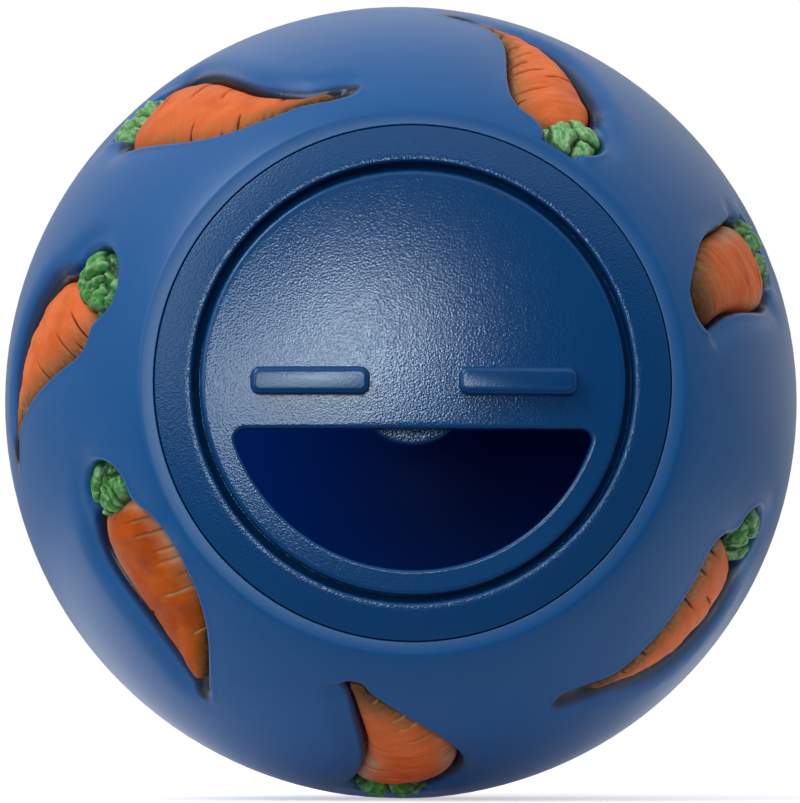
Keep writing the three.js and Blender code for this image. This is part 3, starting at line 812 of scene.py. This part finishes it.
def moon_plate(mesh, outline, rim_radius, back, crown, edge, rim_edge, steps):
    """Adds a round plate with a half-moon hole, its front edges rounded; crown gives the front's height."""
    points, ways = outline
    middle = points.mean(0)
    spokes = points - middle
    spokes /= np.linalg.norm(spokes, axis=1)[:, None]
    along = (spokes * middle).sum(1)
    rim = middle + spokes * (np.sqrt(along ** 2 + rim_radius ** 2 - (middle ** 2).sum()) - along)[:, None]
    rim_way = rim / rim_radius
    quarter = np.linspace(0, math.pi / 2, 6)
    rings = [(points, None)]
    rings += [(points + ways * edge * (1 - math.cos(a)), edge * (1 - math.sin(a))) for a in quarter]
    first, last = points + ways * edge, rim - rim_way * rim_edge
    rings += [(first + (last - first) * share, 0) for share in np.linspace(0, 1, steps + 1)[1:-1]]
    rings += [(rim - rim_way * rim_edge * (1 - math.sin(a)), rim_edge * (1 - math.cos(a))) for a in quarter]
    rings += [(rim, None)]
    made = []
    for flat, below in rings:
        level = np.full(len(flat), back) if below is None else crown(np.linalg.norm(flat, axis=1)) - below
        made.append([mesh.verts.new((x, y, z)) for (x, y), z in zip(flat, level)])
    for near, far in zip(made, made[1:] + made[:1]):
        for i in range(len(near)):
            mesh.faces.new([near[i - 1], near[i], far[i], far[i - 1]])


insert = bmesh.new()
lip_profile = rounded([
    (sleeve_inner, plate_back),
    (sleeve_inner, sleeve_end),
    (sleeve_radius, sleeve_end),
    (sleeve_radius + bead_reach, bead_top - bead_reach / 2),
    (sleeve_radius + bead_reach, bead_top),
    (sleeve_radius, bead_top),
    (sleeve_radius, flange_back),
    (flange_radius, flange_back),
    (flange_radius, flange_top, 0.1),
    (recess_radius + 0.55, lip_height - 0.02),
    (recess_radius + 0.12, lip_height),
    (recess_radius, lip_height - 0.3),
    (recess_radius, plate_top - 0.8),
    (sleeve_inner - 0.2, plate_top),
], 0.22)
turn_round(insert, lip_profile, 240, closed=True)
moon_plate(insert, moon_outline(window_radius, window_top, corner_fillet, 200), sleeve_inner - 0.1, plate_back,
           lambda radius: np.full(len(radius), plate_top), 0.2, 0.02, 10)
turn_round(insert, rounded([
    (stud_hole, hub_back),
    (hub_radius, hub_back),
    (hub_radius, plate_top - 0.05),
    (stud_hole, plate_top - 0.05),
    (stud_hole, hub_back + 0.2),
], 0.3), 96, closed=True)


def grained(name, shine, depth, roughness):
    """Deep blue plastic with a leather-like moulded grain, a little rougher on its high points."""
    material, shader, wire = painted(name, {
        "IOR": 1.5, "Specular IOR Level": shine, "Specular Tint": (0.72, 0.88, 1, 1)})
    surface = wire.node("ShaderNodeTexCoord", output="Object")
    pebble = wire.node("ShaderNodeTexVoronoi", {"feature": "SMOOTH_F1"},
                       {"Vector": surface, "Scale": 5600, "Smoothness": 0.3})
    grain = pebble * 0.7 + wire.cloudy(surface, 6000, 2) * 0.5
    cloud = wire.cloudy(surface, 60, 3)
    joined(shader, {
        "Base Color": cloud.smooth(0.3, 0.7).mix((0.0016, 0.058, 0.206, 1), (0.0022, 0.064, 0.222, 1)),
        "Roughness": roughness + grain * 0.08,
        "Normal": grain.bumped(depth, 0.0001),
    })
    return material


ring_plastic = grained("grained blue plastic", 0.55, 0.3, 0.14)
ring_insert = finished("mouth_ring", insert, ring_plastic, sharp=28)
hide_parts("mouth_insert")
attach(ring_insert, "ball")

# Shutter
# A low-domed disc of the same plastic, with a finer grain, a half-moon hole and two smooth grip bars. A barbed stud
# on its back snaps through the hub, so that it turns in the ring and opens or closes the way to the treats.
disc_radius = 17.8
disc_top = 27.22
disc_back = 25.57
disc_dome = 1.0
disc_edge = 0.4
opening_radius = 15.7
opening_top = 3.95
grip_length = 9.9
grip_width = 2.3
grip_top = 29.42
grip_spacing = 17.3
grip_corner = 0.8
grip_rounding = 0.5
stud_radius = 2.3
barb_reach = 0.8
stud_end = 20.07
barb_top = 21.67


def dome(radius):
    """The height of the disc's front."""
    return disc_top + disc_dome * (1 - (np.minimum(radius, disc_radius) / disc_radius) ** 2)


disc = bmesh.new()
moon_plate(disc, moon_outline(opening_radius, opening_top, corner_fillet, 320), disc_radius, disc_back, dome,
           0.3, disc_edge, 56)
turn_round(disc, rounded([
    (0, stud_end),
    (stud_radius - barb_reach / 2, stud_end),
    (stud_radius + barb_reach, barb_top - 0.4),
    (stud_radius + barb_reach, barb_top),
    (stud_radius, barb_top),
    (stud_radius, disc_back + 0.4),
    (0, disc_back + 0.4),
], 0.15), 64)


def bar_outline(length, width, corner, inset):
    """A rounded rectangle drawn in by the inset."""
    points = []
    for i, (x, y) in enumerate([(1, 1), (-1, 1), (-1, -1), (1, -1)]):
        for angle in np.linspace(0, math.pi / 2, 7) + i * math.pi / 2:
            points.append((x * (length / 2 - corner) + (corner - inset) * math.cos(angle),
                           y * (width / 2 - corner) + (corner - inset) * math.sin(angle)))
    return points


smooth_faces = []
for side in (-1, 1):
    levels = [(0, disc_back + 0.5), (0, grip_top - grip_rounding)]
    levels += [(grip_rounding * (1 - math.cos(a)), grip_top - grip_rounding * (1 - math.sin(a)))
               for a in np.linspace(0, math.pi / 2, 7)[1:]]
    middle = side * grip_spacing / 2
    rings = [[disc.verts.new((middle + x, y, z + dome(abs(middle + x)) - dome(abs(middle))))
              for x, y in bar_outline(grip_length, grip_width, grip_corner, inset)] for inset, z in levels]
    for low, high in zip(rings, rings[1:]):
        smooth_faces += [disc.faces.new([low[i - 1], low[i], high[i], high[i - 1]]) for i in range(len(low))]
    smooth_faces += [disc.faces.new(rings[-1]), disc.faces.new(rings[0])]
for face in smooth_faces:
    face.material_index = 1

fine_plastic = grained("finely grained blue plastic", 0.55, 0.14, 0.1)
smooth_plastic = grained("smooth blue plastic", 0.5, 0.05, 0.15)
shutter = finished("shutter", disc, fine_plastic, smooth_plastic, sharp=40)
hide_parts("shutter_disc")
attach(shutter, "shutter")

# Studio
# A pale floor and white surroundings, dark behind the camera but for its left and top. Two small lamps stand by the
# camera and a large soft one at the upper left. The floor sends a little light up behind the ball.
scene = bpy.context.scene
scene.view_settings.view_transform = "Standard"
floor_mesh = bmesh.new()
bmesh.ops.create_circle(floor_mesh, cap_ends=True, segments=96, radius=3.0)
floor_data = bpy.data.meshes.new("floor")
floor_mesh.to_mesh(floor_data)
floor_mesh.free()
floor = bpy.data.objects.new("floor", floor_data)
scene.collection.objects.link(floor)
floor_paint, floor_shader, floor_wire = painted("pale floor", {
    "Roughness": 0.9, "Specular IOR Level": 0.0, "Emission Strength": 1.0})
camera_ray = floor_wire.node("ShaderNodeLightPath")
spread = floor_wire.node("ShaderNodeTexCoord", output="Object")
behind = floor_wire.node("ShaderNodeSeparateXYZ", sockets={"Vector": spread}, output="Y")
far_off = floor_wire.node("ShaderNodeVectorMath", {"operation": "LENGTH"}, {0: spread}, "Value").smooth(0.06, 0.16)
dim = (behind.smooth(-0.014, -0.05) * 0.86).of("MAXIMUM", far_off * 0.5)
bounce = (behind.smooth(-0.015, 0.03) * (1 - far_off) * 0.6).mix((0, 0, 0, 1), (1, 1, 1, 1))
joined(floor_shader, {
    "Base Color": dim.mix((0.9, 0.9, 0.9, 1), (0.0, 0.0, 0.0, 1)),
    "Emission Color": camera_ray.mix(bounce, dim.mix((0.5, 0.5, 0.5, 1), (1.0, 1.0, 1.0, 1))),
})
floor_data.materials.append(floor_paint)

world = bpy.data.worlds.new("white room")
scene.world = world
world.use_nodes = True
world.node_tree.nodes.clear()
sky = Wire(world.node_tree)
way = sky.node("ShaderNodeTexCoord")
rightward = sky.node("ShaderNodeSeparateXYZ", sockets={"Vector": way}, output="X")
backward = sky.node("ShaderNodeSeparateXYZ", sockets={"Vector": way}, output="Y")
upward = sky.node("ShaderNodeSeparateXYZ", sockets={"Vector": way}, output="Z")
side_light = backward.smooth(-0.85, -0.1) * 0.35 + upward.smooth(0.0, 0.9) * 0.2
back_light = backward.smooth(0.0, 0.8) * (0.25 + upward.smooth(0.2, 0.8) * 0.3)
left_shade = backward.smooth(0.0, 0.6) * (rightward * -1.0).smooth(0.3, 0.9) * 0.28
front_light = (1 - backward.smooth(-0.9, -0.2)) * (
    (rightward * -1.0).smooth(0.3, 0.6) * 1.9 + upward.smooth(0.3, 0.7) * 0.8)
room = 0.03 + side_light + back_light - left_shade + front_light
seen = sky.node("ShaderNodeLightPath")
background = sky.node("ShaderNodeBackground", sockets={"Color": (1, 1, 1, 1), "Strength": seen + (1 - seen) * room})
sky.node("ShaderNodeOutputWorld", sockets={"Surface": background})


def softbox(name, azimuth, elevation, distance, width, height, watts):
    """An oval soft lamp that looks at the ball's centre, placed by angles from straight in front of the mouth."""
    lamp = bpy.data.lights.new(name, "AREA")
    lamp.shape = "ELLIPSE"
    lamp.size = width
    lamp.size_y = height
    lamp.energy = watts
    holder = bpy.data.objects.new(name, lamp)
    scene.collection.objects.link(holder)
    azimuth, elevation = math.radians(azimuth), math.radians(elevation)
    level = distance * math.cos(elevation)
    holder.location = (level * math.sin(azimuth), -level * math.cos(azimuth),
                       ball_radius * 0.001 + distance * math.sin(elevation))
    holder.rotation_euler = (math.pi / 2 - elevation, 0, azimuth)


softbox("key", -7.5, 2.2, 0.9, 0.3, 0.26, 1.35)
softbox("spark", -0.5, 8, 0.9, 0.1, 0.1, 0.5)
softbox("overhead", -56, 44, 0.9, 0.5, 0.5, 2.4)

camera_data = bpy.data.cameras.new("camera")
camera_data.lens = 227.5
camera_data.sensor_width = 36
frame_pixels = 803
camera_data.shift_x = -0.9 / frame_pixels
camera_data.shift_y = 1.2 / frame_pixels
camera = bpy.data.objects.new("camera", camera_data)
scene.collection.objects.link(camera)
camera_azimuth, camera_elevation = math.radians(-2.2), math.radians(-3.7)
camera_distance = 0.45
camera.location = (
    camera_distance * math.sin(camera_azimuth) * math.cos(camera_elevation),
    -camera_distance * math.cos(camera_azimuth) * math.cos(camera_elevation),
    ball_radius * 0.001 + camera_distance * math.sin(camera_elevation),
)
camera.rotation_euler = (math.pi / 2 - camera_elevation, 0, camera_azimuth)
scene.camera = camera
